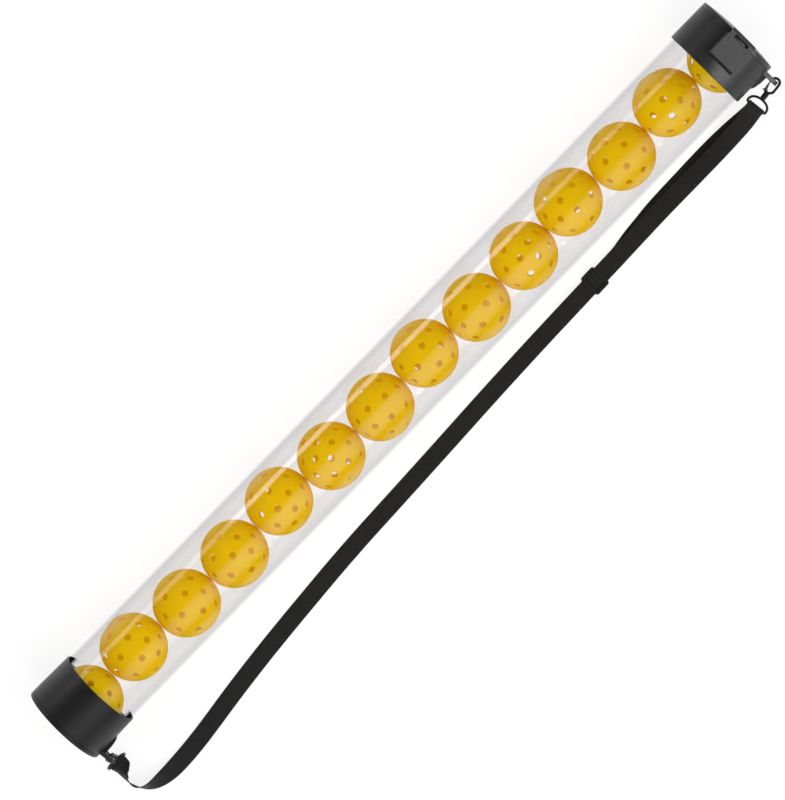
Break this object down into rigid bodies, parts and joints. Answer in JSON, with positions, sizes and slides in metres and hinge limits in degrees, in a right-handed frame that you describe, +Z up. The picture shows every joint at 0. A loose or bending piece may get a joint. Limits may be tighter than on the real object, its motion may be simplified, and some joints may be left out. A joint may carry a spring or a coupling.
{
  "type": "ball pick-up tube",
  "caption": "Clear tube that picks up and holds a column of perforated court balls, with a fingered mouth, a hinged lid and a clip-on shoulder strap.",
  "frame": {"origin": "on the floor, in the middle of the flat under the lower collar, where the tube lies on its pick-up end", "axes": "+X along the tube from the pick-up mouth to the lid, +Z up from the floor, +Y away from the strap"},
  "size_m": [1.0455, 0.1769, 0.1059],
  "materials": {
    "clear_tube": "clear, smooth, glossy plastic",
    "collar_plastic": "black moulded, satin",
    "finger_rubber": "dark flexible",
    "ball_plastic": "yellow moulded, satin",
    "hook_metal": "black coated",
    "steel": "plain bright",
    "webbing": "black woven webbing"
  },
  "bodies": {
    "root": {"tube": "clear_tube", "front_ring": "collar_plastic", "finger_ring": "finger_rubber", "lower_collar": "collar_plastic", "upper_collar": "collar_plastic", "hinge_pin": "steel", "lower_ring": "hook_metal", "upper_ring": "hook_metal", "strap": "webbing", "strap_return": "webbing"},
    "lid": {"lid": "collar_plastic"},
    "slider": {"slider": "collar_plastic"},
    "upper_hook": {"upper_hook": "hook_metal", "upper_gate_pin": "steel", "upper_gate_spring": "steel"},
    "upper_gate": {"upper_gate": "steel"},
    "lower_hook": {"lower_hook": "hook_metal", "lower_gate_pin": "steel", "lower_gate_spring": "steel"},
    "lower_gate": {"lower_gate": "steel"},
    "ball_01": {"ball_01": "ball_plastic"},
    "ball_02": {"ball_02": "ball_plastic"},
    "ball_03": {"ball_03": "ball_plastic"},
    "ball_04": {"ball_04": "ball_plastic"},
    "ball_05": {"ball_05": "ball_plastic"},
    "ball_06": {"ball_06": "ball_plastic"},
    "ball_07": {"ball_07": "ball_plastic"},
    "ball_08": {"ball_08": "ball_plastic"},
    "ball_09": {"ball_09": "ball_plastic"},
    "ball_10": {"ball_10": "ball_plastic"},
    "ball_11": {"ball_11": "ball_plastic"},
    "ball_12": {"ball_12": "ball_plastic"},
    "ball_13": {"ball_13": "ball_plastic"},
    "ball_14": {"ball_14": "ball_plastic"}
  },
  "joints": [
    {"name": "lid_hinge", "type": "hinge", "parent": "root", "child": "lid", "pos_m": [1.02304, -0.00724, 0.10081], "axis": [0, -0.9903, -0.1392], "range_deg": [0, 135]},
    {"name": "slider_slide", "type": "slide", "parent": "root", "child": "slider", "axis": [0.9997, 0.0244, 0], "range_m": [-0.025, 0.025], "deforming": ["strap_return"]},
    {"name": "upper_swivel", "type": "hinge", "parent": "root", "child": "upper_hook", "pos_m": [1.01955, -0.06299, 0.05045], "axis": [0.965, 0.1014, 0.2419], "range_deg": [-12, 12]},
    {"name": "upper_gate_hinge", "type": "hinge", "parent": "upper_hook", "child": "upper_gate", "pos_m": [1.00296, -0.06112, 0.04638], "axis": [0.2406, 0.0253, -0.9703], "range_deg": [0, 28], "stiffness_Nm_per_rad": 0.004, "springref_deg": -20.05, "deforming": ["upper_gate_spring"]},
    {"name": "lower_swivel", "type": "hinge", "parent": "root", "child": "lower_hook", "pos_m": [-0.00075, -0.0583, 0.04825], "axis": [0.12, 0.2701, 0.9553], "range_deg": [-12, 12]},
    {"name": "lower_gate_hinge", "type": "hinge", "parent": "lower_hook", "child": "lower_gate", "pos_m": [0.00081, -0.06295, 0.03179], "axis": [0, -0.9623, 0.2721], "range_deg": [0, 28], "stiffness_Nm_per_rad": 0.004, "springref_deg": -20.05, "deforming": ["lower_gate_spring"]},
    {"name": "ball_01_spin", "type": "hinge", "parent": "root", "child": "ball_01", "pos_m": [0.03362, 0, 0.04931], "axis": [1, 0, 0], "continuous": true},
    {"name": "ball_02_spin", "type": "hinge", "parent": "root", "child": "ball_02", "pos_m": [0.10694, 0.00499, 0.04378], "axis": [1, 0, 0], "continuous": true},
    {"name": "ball_03_spin", "type": "hinge", "parent": "root", "child": "ball_03", "pos_m": [0.18023, -0.00268, 0.04236], "axis": [1, 0, 0], "continuous": true},
    {"name": "ball_04_spin", "type": "hinge", "parent": "root", "child": "ball_04", "pos_m": [0.25393, -0.00253, 0.04231], "axis": [1, 0, 0], "continuous": true},
    {"name": "ball_05_spin", "type": "hinge", "parent": "root", "child": "ball_05", "pos_m": [0.32743, 0.00291, 0.04245], "axis": [1, 0, 0], "continuous": true},
    {"name": "ball_06_spin", "type": "hinge", "parent": "root", "child": "ball_06", "pos_m": [0.40087, -0.0032, 0.04259], "axis": [1, 0, 0], "continuous": true},
    {"name": "ball_07_spin", "type": "hinge", "parent": "root", "child": "ball_07", "pos_m": [0.47457, -0.0041, 0.04309], "axis": [1, 0, 0], "continuous": true},
    {"name": "ball_08_spin", "type": "hinge", "parent": "root", "child": "ball_08", "pos_m": [0.54799, 0.00224, 0.0422], "axis": [1, 0, 0], "continuous": true},
    {"name": "ball_09_spin", "type": "hinge", "parent": "root", "child": "ball_09", "pos_m": [0.62147, -0.00335, 0.04266], "axis": [1, 0, 0], "continuous": true},
    {"name": "ball_10_spin", "type": "hinge", "parent": "root", "child": "ball_10", "pos_m": [0.69513, -0.00089, 0.04192], "axis": [1, 0, 0], "continuous": true},
    {"name": "ball_11_spin", "type": "hinge", "parent": "root", "child": "ball_11", "pos_m": [0.76856, 0.00507, 0.04385], "axis": [1, 0, 0], "continuous": true},
    {"name": "ball_12_spin", "type": "hinge", "parent": "root", "child": "ball_12", "pos_m": [0.84195, -0.00142, 0.042], "axis": [1, 0, 0], "continuous": true},
    {"name": "ball_13_spin", "type": "hinge", "parent": "root", "child": "ball_13", "pos_m": [0.91546, 0.0038, 0.0429], "axis": [1, 0, 0], "continuous": true},
    {"name": "ball_14_spin", "type": "hinge", "parent": "root", "child": "ball_14", "pos_m": [0.98869, -0.00454, 0.04341], "axis": [1, 0, 0], "continuous": true}
  ]
}
